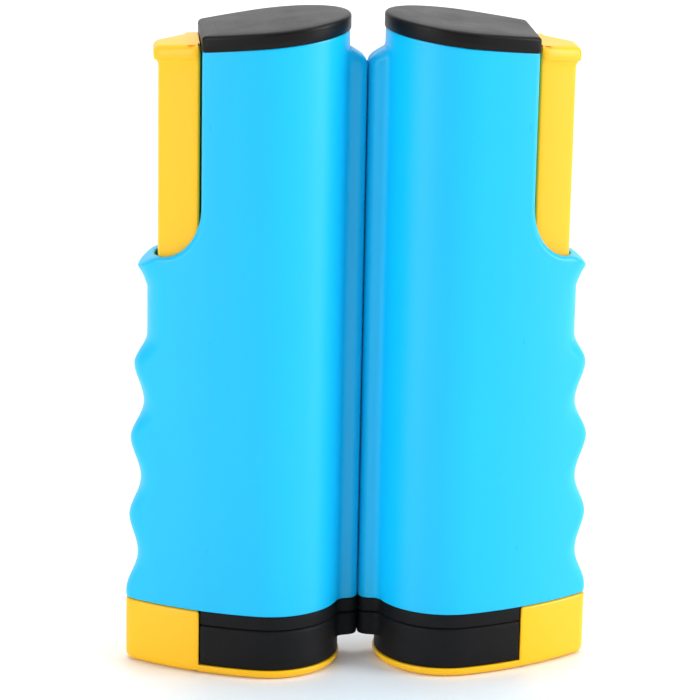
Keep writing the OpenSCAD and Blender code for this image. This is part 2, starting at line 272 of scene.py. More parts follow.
def shade(ob, angle=35):
    me = ob.data
    me.polygons.foreach_set("use_smooth", [True] * len(me.polygons))
    bm = bmesh.new()
    bm.from_mesh(me)
    lim = math.radians(angle)
    for e in bm.edges:
        e.smooth = not (len(e.link_faces) == 2 and e.calc_face_angle(0) > lim)
    bm.to_mesh(me)
    bm.free()
    me.update()


def apply_modifiers(ob):
    dg = bpy.context.evaluated_depsgraph_get()
    dg.update()
    me = bpy.data.meshes.new_from_object(ob.evaluated_get(dg))
    old = ob.data
    ob.modifiers.clear()
    ob.data = me
    bpy.data.meshes.remove(old)
    return ob


def boolean(ob, tools, op="DIFFERENCE"):
    for i, t in enumerate(tools):
        m = ob.modifiers.new(f"b{i}", "BOOLEAN")
        m.operation, m.object, m.solver = op, t, "EXACT"
        if hasattr(m, "material_mode"):
            m.material_mode = "INDEX"
    bpy.context.view_layer.update()
    apply_modifiers(ob)
    for t in tools:
        bpy.data.objects.remove(t)
    return ob


def solid_rows(half, rows, M=8, z_of=None, crown=0.0):
    """A closed solid: rings of one half outline and its mirror image.
    rows are (z, inset) from the bottom up; half(inset, row) gives the half
    outline; its last point is where the flat end face begins."""
    b = Build()
    rings, halves = [], []
    for j, (z, d) in enumerate(rows):
        h = half(d, j)
        halves.append(h)
        k = len(h)
        t = np.linspace(0, 1, M + 1)[1:-1]
        end = np.stack([np.full(M - 1, h[-1, 0]), -h[-1, 1] + 2 * h[-1, 1] * t], 1)
        ring = np.concatenate([np.stack([h[:, 0], -h[:, 1]], 1), end, h[::-1][:, :]])[:-1] if abs(h[0, 1]) < 1e-9 \
            else np.concatenate([np.stack([h[:, 0], -h[:, 1]], 1), end, h[::-1]])
        zz = np.full(len(ring), z) if z_of is None else np.array([z_of(u, z, j) for u in ring[:, 0]])
        rings.append(np.column_stack([ring[:, 0], ring[:, 1], zz]))
    b.grid(np.array(rings), wrap=True)
    for j, s in ((0, -1), (len(rows) - 1, 1)):
        h, z = halves[j], rows[j][0]
        t = np.linspace(0, 1, M + 1)
        P = np.zeros((M + 1, len(h), 3))
        P[:, :, 0] = h[:, 0][None]
        P[:, :, 1] = -h[:, 1][None] + 2 * h[:, 1][None] * t[:, None]
        P[:, :, 2] = z if z_of is None else np.array([z_of(u, z, j) for u in h[:, 0]])[None]
        if crown and s > 0:
            vmax = np.maximum(h[:, 1], 1e-6)
            k = np.minimum(1, np.minimum(vmax, 12) / 12)[None] * (1 - (2 * t[:, None] - 1) ** 2)
            P[:, :, 2] += crown * k
        b.grid(P)
    return b


def round_rows(z0, z1, r0, r1, n=4, mid=0):
    """(z, inset) rows of a solid from z0 to z1 with its lower and upper edges rounded by r0 and r1."""
    rows = []
    for i in range(n + 1):
        a = math.pi / 2 * i / n
        rows.append((z0 + r0 * (1 - math.cos(a)), r0 * (1 - math.sin(a))))
    for i in range(1, mid + 1):
        t = i / (mid + 1)
        rows.append((z0 + r0 + (z1 - r1 - z0 - r0) * t, 0.0))
    for i in range(n + 1):
        a = math.pi / 2 * i / n
        rows.append((z1 - r1 + r1 * math.sin(a), r1 * (1 - math.cos(a))))
    return rows


def lathe(prof, n=48, centre=(0, 0), axis="z", closed=True):
    """Turns a profile of (radius, height) points; closed joins its last point to its first."""
    b = Build()
    p = np.array(prof, float)
    a = 2 * math.pi * np.arange(n) / n
    if closed:
        p = np.concatenate([p, p[:1]])
    g = np.zeros((len(p), n, 3))
    for i, (r, h) in enumerate(p):
        if axis == "z":
            g[i] = np.column_stack([centre[0] + r * np.cos(a), centre[1] + r * np.sin(a), np.full(n, h)])
        else:
            g[i] = np.column_stack([centre[0] + r * np.cos(a), np.full(n, h), centre[1] + r * np.sin(a)])
    b.grid(g, wrap=True)
    return b


def merge_builds(*bs):
    o = Build()
    for x in bs:
        base = o.n
        o.pts(np.concatenate(x.v))
        o.f += [tuple(i + base for i in q) for q in x.f]
    return o


def extrude(poly, z0, z1):
    """A closed solid from a polygon of (u, y) points."""
    b = Build()
    p = np.array(poly, float)
    lo = b.pts(np.column_stack([p, np.full(len(p), z0)]))
    hi = b.pts(np.column_stack([p, np.full(len(p), z1)]))
    b.quads(np.array([lo, hi]), wrap=True)
    b.face(lo[::-1])
    b.face(hi)
    return b


def box_build(u0, u1, y0, y1, z0, z1):
    return extrude([(u0, y0), (u1, y0), (u1, y1), (u0, y1)], z0, z1)


# ------------------------------------------------------------------ materials
def srgb(r, g, b):
    def lin(c):
        c /= 255
        return c / 12.92 if c <= 0.04045 else ((c + 0.055) / 1.055) ** 2.4

    return lin(r), lin(g), lin(b), 1


class Mat:
    def __init__(self, name):
        self.m = bpy.data.materials.new(name)
        self.m.use_nodes = True
        self.t = self.m.node_tree
        self.t.nodes.clear()
        self.out = self.t.nodes.new("ShaderNodeOutputMaterial")
        self.bsdf = self.t.nodes.new("ShaderNodeBsdfPrincipled")
        self.t.links.new(self.bsdf.outputs[0], self.out.inputs[0])
        self.co = self.t.nodes.new("ShaderNodeTexCoord").outputs["Object"]
        MATS[name] = self.m

    def node(self, kind, **kw):
        n = self.t.nodes.new(kind)
        for k, v in kw.items():
            if hasattr(n, k):
                setattr(n, k, v)
            else:
                n.inputs[k].default_value = v
        return n

    def link(self, a, b):
        self.t.links.new(a, b)

    def noise(self, scale, detail=3, rough=0.55, stretch=None):
        co = self.co
        if stretch:
            mp = self.node("ShaderNodeMapping")
            mp.inputs["Scale"].default_value = stretch
            self.link(co, mp.inputs[0])
            co = mp.outputs[0]
        n = self.node("ShaderNodeTexNoise")
        n.inputs["Scale"].default_value = scale
        n.inputs["Detail"].default_value = detail
        n.inputs["Roughness"].default_value = rough
        self.link(co, n.inputs["Vector"])
        return n.outputs["Fac"]

    def ramp(self, fac, lo, hi, p0=0.0, p1=1.0):
        r = self.node("ShaderNodeValToRGB")
        r.color_ramp.elements[0].position, r.color_ramp.elements[1].position = p0, p1
        r.color_ramp.elements[0].color, r.color_ramp.elements[1].color = lo, hi
        self.link(fac, r.inputs[0])
        return r.outputs[0]

    def span(self, fac, lo, hi, a=0.3, b=0.7):
        r = self.node("ShaderNodeMapRange")
        r.inputs[1].default_value, r.inputs[2].default_value = a, b
        r.inputs[3].default_value, r.inputs[4].default_value = lo, hi
        self.link(fac, r.inputs[0])
        return r.outputs[0]

    def mix(self, fac, a, b, mode="MIX"):
        n = self.node("ShaderNodeMix", data_type="RGBA", blend_type=mode)
        for s, val in ((n.inputs[0], fac), (n.inputs[6], a), (n.inputs[7], b)):
            if isinstance(val, bpy.types.NodeSocket):
                self.link(val, s)
            else:
                s.default_value = val
        return n.outputs[2]

    def add(self, a, b, op="ADD"):
        n = self.node("ShaderNodeMath", operation=op)
        for s, val in ((n.inputs[0], a), (n.inputs[1], b)):
            if isinstance(val, bpy.types.NodeSocket):
                self.link(val, s)
            else:
                s.default_value = val
        return n.outputs[0]

    def bump(self, height, strength, dist, prev=None):
        n = self.node("ShaderNodeBump")
        n.inputs["Strength"].default_value = strength
        n.inputs["Distance"].default_value = dist
        self.link(height, n.inputs["Height"])
        if prev is not None:
            self.link(prev, n.inputs["Normal"])
        return n.outputs[0]

    def set(self, **kw):
        for k, v in kw.items():
            k = k.replace("_", " ")
            if isinstance(v, bpy.types.NodeSocket):
                self.link(v, self.bsdf.inputs[k])
            else:
                self.bsdf.inputs[k].default_value = v


def scale_col(c, k):
    return tuple(min(1, x * k) for x in c[:3]) + (1,)


def plastic(name, col, rough=(0.30, 0.38), grain=2600, strength=0.10, coat=0.0, sss=0.0, vary=0.06, spec=0.5):
    """Injection moulded plastic: fine spark texture, faint flow marks and a few handling marks."""
    m = Mat(name)
    big = m.noise(28, 3, 0.5, (1, 1, 0.35))
    fine = m.noise(grain, 2, 0.6)
    c = m.ramp(big, scale_col(col, 1 - vary), scale_col(col, 1 + vary), 0.3, 0.72)
    speck = m.noise(900, 4, 0.7)
    c = m.mix(m.span(speck, 0, 0.10, 0.62, 0.75), c, scale_col(col, 0.8))
    r = m.add(m.span(m.noise(60, 5, 0.65), rough[0], rough[1]), m.span(fine, -0.02, 0.02), "ADD")
    scratch = m.noise(220, 2, 0.5, (1, 1, 0.06))
    h = m.add(m.span(fine, 0, 1), m.span(scratch, 0, 0.25, 0.6, 0.7))
    n = m.bump(h, strength, 0.00004)
    n = m.bump(big, 0.10, 0.0004, n)
    m.set(Base_Color=c, Roughness=r, Normal=n, IOR=1.48, Specular_IOR_Level=spec)
    if coat:
        m.bsdf.inputs["Coat Weight"].default_value = coat
        m.bsdf.inputs["Coat Roughness"].default_value = 0.25
    if sss:
        m.bsdf.inputs["Subsurface Weight"].default_value = sss
        m.bsdf.inputs["Subsurface Scale"].default_value = 0.002
    return m


plastic("blue_shell", srgb(6, 186, 238), rough=(0.34, 0.42), vary=0.02, spec=0.36)
plastic("yellow_plastic", srgb(248, 190, 9), rough=(0.36, 0.44), vary=0.03, spec=0.4)
plastic("black_plastic", srgb(15, 15, 16), rough=(0.36, 0.46), grain=1500, strength=0.22, vary=0.12, spec=0.17)
plastic("white_plastic", srgb(226, 226, 222), rough=(0.35, 0.42), vary=0.03)


def rubber():
    m = Mat("jaw_rubber")
    base = srgb(13, 13, 15)
    mott = m.noise(45, 4, 0.6)
    fine = m.noise(1900, 3, 0.65)
    c = m.ramp(mott, scale_col(base, 0.8), scale_col(base, 1.35), 0.3, 0.75)
    dust = m.noise(420, 5, 0.75)
    c = m.mix(m.span(dust, 0, 0.10, 0.6, 0.8), c, srgb(76, 75, 74))
    r = m.span(fine, 0.52, 0.68)
    n = m.bump(fine, 0.25, 0.00006)
    n = m.bump(mott, 0.15, 0.0003, n)
    m.set(Base_Color=c, Roughness=r, Normal=n, IOR=1.5, Specular_IOR_Level=0.16)
    return m


rubber()


def steel(name, col, rough, stretch=(1, 1, 0.02)):
    m = Mat(name)
    brush = m.noise(700, 3, 0.6, stretch)
    blot = m.noise(60, 4, 0.6)
    c = m.ramp(blot, scale_col(col, 0.85), scale_col(col, 1.06), 0.3, 0.7)
    r = m.add(m.span(brush, rough[0], rough[1]), m.span(blot, -0.03, 0.03))
    n = m.bump(brush, 0.15, 0.00003)
    m.set(Base_Color=c, Metallic=1.0, Roughness=r, Normal=n)
    return m


steel("spring_steel", srgb(190, 192, 196), (0.22, 0.34), (1, 1, 1))
steel("axle_steel", srgb(200, 201, 204), (0.16, 0.28))
steel("screw_steel", srgb(176, 178, 182), (0.24, 0.36), (1, 1, 1))


def cord_mat():
    m = Mat("net_cord")
    tw = m.node("ShaderNodeTexWave", wave_type="BANDS", bands_direction="DIAGONAL")
    tw.inputs["Scale"].default_value = 900
    tw.inputs["Distortion"].default_value = 1.5
    m.link(m.co, tw.inputs["Vector"])
    fuzz = m.noise(2400, 3, 0.7)
    base = srgb(26, 32, 44)
    c = m.ramp(tw.outputs["Fac"], scale_col(base, 0.65), scale_col(base, 1.5))
    c = m.mix(m.span(fuzz, 0, 0.35), c, srgb(70, 76, 88))
    n = m.bump(m.add(tw.outputs["Fac"], fuzz), 0.4, 0.0001)
    m.set(Base_Color=c, Roughness=0.82, Normal=n, Specular_IOR_Level=0.2)
    m.bsdf.inputs["Sheen Weight"].default_value = 0.25
    m.bsdf.inputs["Sheen Roughness"].default_value = 0.5
    return m


cord_mat()


def tape_mat():
    m = Mat("net_tape")
    ww = []
    for d in ("X", "Z"):
        w = m.node("ShaderNodeTexWave", wave_type="BANDS", bands_direction=d)
        w.inputs["Scale"].default_value = 420
        w.inputs["Distortion"].default_value = 0.4
        m.link(m.co, w.inputs["Vector"])
        ww.append(w.outputs["Fac"])
    weave = m.add(ww[0], ww[1])
    base = srgb(232, 232, 226)
    c = m.ramp(m.noise(60, 4, 0.6), scale_col(base, 0.9), base, 0.3, 0.7)
    c = m.mix(m.span(weave, 0, 0.25, 0.2, 1.4), c, scale_col(base, 0.72))
    n = m.bump(weave, 0.3, 0.00015)
    m.set(Base_Color=c, Roughness=0.85, Normal=n, Specular_IOR_Level=0.2)
    m.bsdf.inputs["Sheen Weight"].default_value = 0.3
    m.bsdf.inputs["Sheen Roughness"].default_value = 0.5
    return m


tape_mat()


def roll_mat():
    """The wound net: knotted cord squares, with painted shade in the gaps where the layers beneath would show
    through.
    """
    m = Mat("net_wound")
    ww = []
    for d, s in (("Z", 0.085 * 1000 / 2), ("X", 60.0)):
        w = m.node("ShaderNodeTexWave", wave_type="BANDS", bands_direction=d)
        w.inputs["Scale"].default_value = s
        w.inputs["Distortion"].default_value = 1.0
        w.inputs["Detail Scale"].default_value = 6
        m.link(m.co, w.inputs["Vector"])
        ww.append(m.span(w.outputs["Fac"], 0, 1, 0.86, 0.97))
    cord = m.add(ww[0], ww[1], "MAXIMUM")
    fuzz = m.noise(2400, 3, 0.7)
    # the gaps between the cords get a near-black colour: painted shade of the layers beneath
    c = m.mix(cord, srgb(12, 15, 20), srgb(44, 52, 66))
    c = m.mix(m.span(fuzz, 0, 0.3), c, srgb(66, 72, 84))
    n = m.bump(m.add(cord, m.span(fuzz, 0, 0.3)), 0.6, 0.0004)
    m.set(Base_Color=c, Roughness=0.85, Normal=n, Specular_IOR_Level=0.2)
    return m


roll_mat()


# ------------------------------------------------------------------ housing shells
N_TUBE, N_F1, N_F2, N_NOSE = 26, 6, 9, 16
B46 = flank_ang(46.0)
R_E = 1.2           # rounding of the web and rim, outside
_c68, _r68, _a68 = nose(68.0)
S46_W = FLANK_R * (B46 - flank_ang(WEB_U))
L68 = FLANK_R * (B46 - _a68) + _r68 * _a68
FRAC_W = S46_W / L68


def v_start(z):
    """Half width of the net slot at height z, closing at its two ends."""
    def s(t):
        t = min(max(t, 0), 1)
        return t * t * (3 - 2 * t)

    return 0.03 + 0.97 * min(s((z - 27.9) / 1.2), s((183.1 - z) / 1.2))


def lip_h(z):
    """How far the lip stands out of the tube at height z, following the lips' sloping top."""
    if z <= 186.2:
        return 1.0
    zs = [186.2, 187.1, 188.0, 189.0, 190.2, 191.1, 191.6, 192.4]
    us = [0.25, 0.33, 0.72, 1.55, 3.35, 4.85, 5.22, 5.30]
    return max((5.3 - float(np.interp(z, zs, us))) / 5.05, 0.0)


def housing_path(z, d, inner):
    """Half outline of the housing at height z, up to the column at u = 46: lip, tube, first flank."""
    v0 = v_start(z + shear(z) * (WALL_U - 1))
    if inner:
        r = TUBE_R - WALL
        _, a1 = lip_half(0, 1, LIP_W, LIP_U)
        a0 = math.pi - math.asin(v0 / r)
        a = a0 + (a1 - a0) * np.linspace(0, 1, 17)
        lip = np.stack([TUBE_U + r * np.cos(a), r * np.sin(a)], 1)
        d = WALL
    else:
        lip, a1 = lip_half(d, lip_h(z), LIP_W, LIP_U, v0=v0, slot_r=0.3)
    tube = arc_pts(TUBE_U, 0, TUBE_R - d, a1, A_TUBE, N_TUBE)
    fl = arc_pts(FU, -FV, FLANK_R - d, A_TUBE, B46, N_F1)
    return np.concatenate([lip, tube, fl])


def ease_rim(z):
    t = min(max((z - 106) / (RIM_Z - R_E - 106), 0), 1)
    return t * t * (3 - 2 * t)


def warp(u, z):
    """The rim falls towards its flared outer edge, and the rows below follow it."""
    e = min(max((u - WEB_U) / (68.0 - WEB_U), 0), 1.05)
    return z - RIM_DROP * ease_rim(z) * e**1.5


def tip(z, d=0.0):
    """Reach of the nose in the row that starts at height z by the web. The flared rim is
    solid, so the inner skin (inset d) runs straight up behind it."""
    U = reach(z - RIM_DROP * ease_rim(z))
    return U - max(U - 64.9, 0) * min(d / WALL, 1) if z > 104.2 else U


def grip_point(s, z, d):
    """Point of the grip's skin at arc length s past u = 46, height z, inset d."""
    c, r, a = nose(tip(z, d))
    sf = FLANK_R * (B46 - a)
    if s <= sf:
        return flank_pt(B46 - s / FLANK_R, d)
    q = max(a - (s - sf) / r, 0)
    # the parting line: the last bit turns in towards the joint face
    return c + (r - d) * math.cos(q), (r - d) * math.sin(q)


def grip_s(t, z, d):
    """Arc length of the column with fraction t; the web's column keeps its place near the rim."""
    c, r, a = nose(tip(z, d))
    L = FLANK_R * (B46 - a) + r * a
    k = min(max((z - 104.2) / 14, 0), 1)
    k = k * k * (3 - 2 * k)
    w = FRAC_W * L * (1 - k) + S46_W * k
    return w * t / FRAC_W if t <= FRAC_W else w + (L - w) * (t - FRAC_W) / (1 - FRAC_W)


def grip_cols(z, d, fracs, v_end=0.03):
    out = [grip_point(grip_s(t, z, d), z, d) for t in fracs]
    return np.array(out)


FR2 = [FRAC_W * i / N_F2 for i in range(1, N_F2 + 1)]
FR3 = [FRAC_W + (1 - FRAC_W) * (i / N_NOSE) for i in range(1, N_NOSE)] + [0.985, 0.994, 0.9975]


def nose_end(p, z, d, inner):
    """The last columns by the joint face: the outer edge is eased by 0.2 mm."""
    U = tip(z, WALL if inner else d)
    if inner:
        q = [(U - WALL, 0.45), (U - WALL, 0.2), (U - WALL, 0.03)]
    else:
        q = [(U - d - 0.01, 0.42), (U - d - 0.07, 0.14), (U - d - 0.24, 0.03)]
    p[-3:] = q
    return p


def shear(z):
    t = min(max((z - 148) / 34, 0), 1)
    return SLOPE * t * t * (3 - 2 * t)


def housing(side, face):
    """One moulded half shell: face -1 is the front, +1 the back."""
    rows_a = [(BODY_Z + 0.5 * (1 - math.cos(a)), 0.5 * (1 - math.sin(a))) for a in (0, 0.52, 1.05)]
    zs = [20.8, 21.6, 22.5]
    z = 22.5
    extra = [27.9, 28.2, 28.5, 28.8, 29.1]
    while z < RIM_Z - R_E - 1.2:
        z += 1.35
        zs.append(z)
    zs = sorted(set([q for q in zs if q < RIM_Z - R_E - 0.5] + extra + [RIM_Z - R_E]))
    rows_a += [(q, 0.0) for q in zs]
    thetas = [math.radians(t) for t in (7, 14, 22, 30, 38, 46, 54, 62, 70, 77, 84, 90)]
    up = [149, 155, 161, 167, 172, 175, 176.3, 176.6, 176.9, 177.2, 177.5, 177.8, 179.2, 180.6, 181.2,
          181.8, 182.3, 182.7, 183.1, 183.5, 183.9, 184.3, 184.7, 185.1, 185.4, 185.7, 186.0, 186.4, 187.4, 189.5, 191.2]
    top_r = 0.35
    b = Build()
    nk = 17 + N_TUBE + N_F1          # columns up to u = 46
    kw = nk + N_F2                   # last column of the upper part
    layers = []
    skins = {}
    for inner in (False, True):
        rb = 0.5 if inner else R_E
        A = []
        for z, d in rows_a:
            if inner:
                d = WALL
                if z == RIM_Z - R_E:
                    z = RIM_Z - rb
            p = np.concatenate([housing_path(z, d, inner), grip_cols(z, d, FR2 + FR3)])
            p = nose_end(p, z, d, inner)
            A.append(np.column_stack([p, [warp(q[0], z) for q in p]]))
        A = np.array(A)
        B = [A[-1][:kw]]
        for th in thetas:
            z = RIM_Z + WEB_H - (WEB_H + rb) * math.cos(th)
            ub = WEB_U - (WEB_W + rb) * math.sin(th)
            p = housing_path(z, WALL if inner else 0, inner)
            sb = FLANK_R * (B46 - flank_ang_d(ub, WALL if inner else 0))
            q = np.array([flank_pt(B46 - sb / FLANK_R * i / N_F2, WALL if inner else 0) for i in range(1, N_F2 + 1)])
            p = np.concatenate([p, q])
            B.append(np.column_stack([p, np.full(len(p), z)]))
        ups = [(z, 0.0) for z in up] + [(192 - top_r, 0.0), (192 - 0.3 * top_r, 0.3 * top_r), (192, top_r)]
        for z, d in ups:
            dd = WALL if inner else d
            ri = max(0.5 - (z - RIM_Z - WEB_H) / 4 * 0.45, 0.05) if inner else rb
            ub = WALL_U - ri
            p = housing_path(z, dd, inner)
            sb = FLANK_R * (B46 - flank_ang_d(ub, dd))
            q = np.array([flank_pt(B46 - sb / FLANK_R * i / N_F2, dd) for i in range(1, N_F2 + 1)])
            p = np.concatenate([p, q])
            zz = z + shear(z) * (WALL_U - p[:, 0])
            if not inner:      # the lip's profile is taken at the true height
                for it in range(2):
                    for k in range(17):
                        pk, _ = lip_half(dd, lip_h(zz[k]), LIP_W, LIP_U, v0=v_start(zz[k]), slot_r=0.3)
                        p[k] = pk[k]
                    zz = z + shear(z) * (WALL_U - p[:, 0])
            B.append(np.column_stack([p, zz]))
        skins[inner] = (A, np.array(B))
    # vertex numbers
    ids = {}
    for inner in (False, True):
        A, Bg = skins[inner]
        ia = b.grid(A)
        ib = b.grid(Bg)
        ids[inner] = (ia, ib)
    # rounded edge along the rim, the web and the end wall's corner
    steps = [(R_E * (1 - math.sin(t)), R_E * (1 - math.cos(t))) for t in np.linspace(0, math.pi / 2, 6)[1:]]

    def edge_layers(rr, ri):
        out = list(steps)
        out += [(0.0, WALL - ri)]
        out += [(ri * (1 - math.cos(t)), WALL - ri * (1 - math.sin(t))) for t in np.linspace(0, math.pi / 2, 4)[1:-1]]
        return out

    n_lay = len(edge_layers(0, 0.5))
    n_a = skins[False][0].shape[1]
    cols = []
    # rim, from the joint face to the web
    for k in range(n_a - 1, kw - 1, -1):
        t = (FR2 + FR3)[k - nk]
        col = []
        for rho, d in edge_layers(0, 0.5):
            z = RIM_Z - rho
            if k >= n_a - 3:
                U = tip(z, d)
                y = [(0.42, 0.01), (0.14, 0.07), (0.03, 0.24)][k - (n_a - 3)]
                ins = max(d, y[1]) if d < WALL - 0.5 else min(d, WALL)
                col.append((U - ins, y[0], warp(U - ins, z)))
            else:
                u, v = grip_point(grip_s(t, z, d), z, d)
                col.append((u, v, warp(u, z)))
        cols.append(col)
    # the column at k_w - 1 .. is where web and rim meet
    k = kw - 1
    t = (FR2 + FR3)[k - nk]
    cols.append([(*grip_point(grip_s(t, RIM_Z - rho, d), RIM_Z - rho, d), RIM_Z - rho) for rho, d in edge_layers(0, 0.5)])
    for th in thetas:
        col = []
        for rho, d in edge_layers(0, 0.5):
            u = WEB_U - (WEB_W + rho) * math.sin(th)
            z = RIM_Z + WEB_H - (WEB_H + rho) * math.cos(th)
            col.append((u, flank_v(u, d), z))
        cols.append(col)
    for z, dt in ups:
        ri = max(0.5 - (z - RIM_Z - WEB_H) / 4 * 0.45, 0.05)
        col = []
        for rho, d in edge_layers(0, ri):
            d2 = max(d, dt)
            u = WALL_U - max(rho, dt)
            col.append((u, flank_v(u, d2), z + shear(z) * (WALL_U - u)))
        cols.append(col)
    edge = b.pts(np.array(cols)).reshape(len(cols), n_lay)
    ia, ib = ids[False]
    ja, jb = ids[True]
    o_line = np.concatenate([ia[-1, n_a - 1:kw - 2:-1], ib[1:, kw - 1]])
    i_line = np.concatenate([ja[-1, n_a - 1:kw - 2:-1], jb[1:, kw - 1]])
    strip = np.column_stack([o_line, edge, i_line])
    b.quads(strip)
    b.face(strip[0])
    b.face(strip[-1])
    # bottom, top, slot side and joint face
    b.quads(np.array([ia[0], ja[0]]))
    b.quads(np.array([ib[-1], jb[-1]]))
    slot_o = np.concatenate([ia[:, 0], ib[1:, 0]])
    slot_i = np.concatenate([ja[:, 0], jb[1:, 0]])
    b.quads(np.array([slot_o, slot_i]))
    b.quads(np.array([ia[:, -1], ja[:, -1]]))
    for i, p in enumerate(b.v):
        p[:, 1] *= face
    return b, ids


def flank_ang_d(u, d):
    return math.acos((u - FU) / (FLANK_R - d))


def guide_half(d=0.0, n=6):
    """Half outline of the floor's guide opening round the plunger's shaft."""
    u0, u1, c = 49.4, 62.1, 1.5
    top = [(u0 + (u1 - c - u0) * i / n, flank_v(u0 + (u1 - c - u0) * i / n, 2.6 + d)) for i in range(n + 1)]
    last = [(u1 - 0.3 * c, top[-1][1] - 0.45 * c), (u1, top[-1][1] - 1.15 * c)]
    return top + last


def housing_inside(face):
    """Floor, end wall, axle bridge, lower seat and spring shelf of one half shell."""
    parts = []
    g = 0.04
    # floor with the guide opening
    gh = guide_half()
    c, r, a = nose(71.2)
    inner_nose = [tuple(p) for p in arc_pts(c, 0, r - WALL + 0.2, 0, a, 8, 0)]
    inner_nose[0] = (inner_nose[0][0], g)
    fl = [tuple(p) for p in arc_pts(FU, -FV, FLANK_R - WALL + 0.2, a, A_TUBE, 16)]
    tb = [tuple(p) for p in arc_pts(TUBE_U, 0, TUBE_R - WALL + 0.2, A_TUBE, math.pi - 0.02, 24)]
    tb[-1] = (tb[-1][0], g)
    poly = [(49.4, g)] + gh + [(62.1, g)] + inner_nose + fl + tb
    parts.append(extrude(poly, BODY_Z + 0.03, 22.5))
    # end wall
    wall_poly = [(47.1, g), (WALL_U - 0.02, g), (WALL_U - 0.02, flank_v(WALL_U, WALL - 0.35)),
                 (47.1, flank_v(47.1, WALL - 0.35))]
    w = extrude(wall_poly, 22.3, 192)
    v = np.concatenate(w.v)
    v[:, 2] = np.where(v[:, 2] > 100, 191.9 + SLOPE * (WALL_U - v[:, 0]), v[:, 2])
    w.v = [v]
    parts.append(w)
    # axle bridge and lower seat
    poly = [(TUBE_U - TUBE_R + WALL + 0.1, g)] + [tuple(p) for p in arc_pts(TUBE_U, 0, TUBE_R - WALL + 0.2, math.pi - 0.05, A_TUBE, 20, 0)] + \
        [(46.9, flank_v(46.9, WALL - 0.2)), (47.2, g), (TUBE_U + 2.6, g)] + \
        [(TUBE_U + 2.56 * math.cos(t), 2.56 * math.sin(t)) for t in np.linspace(0.1, math.pi - 0.1, 9)] + [(TUBE_U - 2.6, g)]
    parts.append(extrude(poly, 186.6, 188.6))
    seat = [(TUBE_U + 5, g)] + [(TUBE_U + 5 * math.cos(t), 5 * math.sin(t)) for t in np.linspace(0.02, math.pi - 0.02, 17)] + \
        [(TUBE_U - 5, g), (TUBE_U - 2.6, g)] + [(TUBE_U + 2.56 * math.cos(t), 2.56 * math.sin(t)) for t in np.linspace(math.pi - 0.1, 0.1, 9)] + [(TUBE_U + 2.6, g)]
    parts.append(extrude(seat, 22.4, 26.4))
    # shelf that carries the clamp spring
    sh = [(49.0, g), (49.0, 6.2), (52, 6.0), (57.6, 4.2), (58.8, 3.4), (59, 2.4), (59, g)]
    parts.append(extrude(sh, 66, 70))
    o = merge_builds(*parts)
    for p in o.v:
        p[:, 1] *= face
    return o


SCREWS = [(44.9, 40.0, 13.6), (44.9, 105.0, 13.6), (44.9, 170.0, 13.6), (14.3, 23.3, 14.0), (14.3, 190.9, 14.0)]


def surf_v(u):
    ut = TUBE_U + TUBE_R * math.cos(A_TUBE)
    return math.sqrt(TUBE_R**2 - (u - TUBE_U) ** 2) if u < ut else flank_v(u)


def make_housing(side, face):
    sname = "right" if side > 0 else "left"
    fname = "front" if face < 0 else "back"
    b, ids = housing(side, face)
    ob = finish_mesh(f"{sname}_shell_{fname}", b, side, "blue_shell", 0)
    if face > 0:
        tools = []
        for u, z, seat in SCREWS:
            t = finish_mesh("cut", lathe([(0, seat), (2.7, seat), (2.7, surf_v(u) + 0.0), (2.95, surf_v(u) + 0.35), (3.1, 30), (0, 30)],
                                         40, (u, z), "y", closed=False), side, None, 0)
            tools.append(t)
        boolean(ob, tools)
    shade(ob, 38)
    ins = housing_inside(face)
    bosses = []
    for u, z, seat in SCREWS:
        sv = min(surf_v(u), surf_v(u - 2.6) + 0.1)
        if face > 0:
            sv = min(surf_v(u), surf_v(u - 3.7) + 0.4)
            p = [(1.5, 0.05), (2.4, 0.05), (2.4, seat - 2), (3.6, seat - 2), (3.6, sv - 1.0), (2.7, sv - 0.9), (2.7, seat), (1.5, seat)]
        else:
            p = [(1.27, -0.05), (2.4, -0.05), (2.4, -(sv - 0.8)), (0.6, -(sv - 0.8)), (0.6, -11), (1.27, -11)]
        bosses.append(lathe(p, 32, (u, z), "y"))
    inner = merge_builds(ins, *bosses)
    inn = finish_mesh(f"{sname}_shell_{fname}_ribs", inner, side, "blue_shell", 38)
    body = f"{sname}_post"
    node = f"{sname}_housing_{fname}"
    for o in (ob, inn):
        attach(o, body)
        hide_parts(node)
    return ob


# ------------------------------------------------------------------ cap, pads, block, foot
def z_sloped(base):
    def f(u, z, j):
        return z + SLOPE * (WALL_U - u)

    return f


def make_cap(side):
    sname = "right" if side > 0 else "left"
    rows = [(192.05, 0.45), (192.12, 0.15), (192.35, 0.0)]
    rows += [(194.2, 0.0), (195.6, 0.0)]
    r = 1.1
    rows += [(197 - r + r * math.sin(a) - 0.25, r * (1 - math.cos(a))) for a in np.linspace(0.0, math.pi / 2, 7)]
    rows += [(196.85, 1.9), (196.93, 3.2), (196.96, 4.6)]
    b = solid_rows(lambda d, j: half_tube(d - 0.3, WALL_U, 1.6), rows, M=12, z_of=z_sloped(0), crown=0.12)
    # locating skirt
    outer, inner = half_tube(2.35, 49.3, 3.0), half_tube(4.35, 49.3, 5.0)
    ring = []
    for h in (outer, inner):
        h = h[2:]
        ring.append(np.concatenate([np.stack([h[:, 0], -h[:, 1]], 1), h[::-1]]))
    lo, hi = 189.9, 193.0
    g = np.array([np.column_stack([p, z + SLOPE * (WALL_U - p[:, 0])]) for p, z in
                  ((ring[0], lo), (ring[0], hi), (ring[1], hi), (ring[1], lo), (ring[0], lo))])
    sk = Build()
    sk.grid(g, wrap=True)
    ob = finish_mesh(f"{sname}_cap", merge_builds(b, sk), side, "black_plastic", 40)
    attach(ob, f"{sname}_post")
    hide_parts(f"{sname}_top_cap")
    return ob


